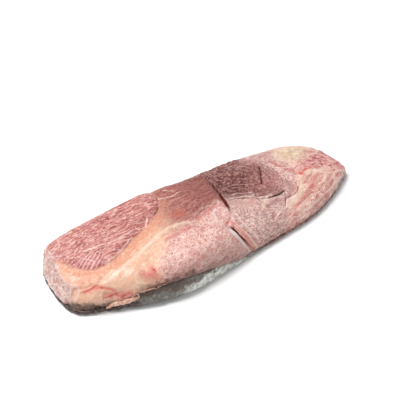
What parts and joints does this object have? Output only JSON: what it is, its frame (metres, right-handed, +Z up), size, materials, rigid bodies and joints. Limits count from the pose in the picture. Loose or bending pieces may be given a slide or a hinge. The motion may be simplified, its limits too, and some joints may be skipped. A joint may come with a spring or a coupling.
{
  "type": "flat iron steak",
  "caption": "Whole raw flat iron steak: a long flat slab of marbled beef, lean side up over a thin layer of fat and silverskin, with a split across it and one pointed end.",
  "frame": {"origin": "centre of the steak's bounding box, at the surface that it rests on", "axes": "+X along the steak to its thin pointed end, -Y its near long side with the turned-up fat cover, +Z up through the lean side"},
  "size_m": [0.3784, 0.1452, 0.0444],
  "materials": {
    "lean_meat": "moist raw beef, marbled with white fat",
    "fat_cover": "moist off-white silverskin and fat"
  },
  "bodies": {
    "root": {"lean_meat": "lean_meat", "fat_cover": "fat_cover"}
  },
  "joints": []
}
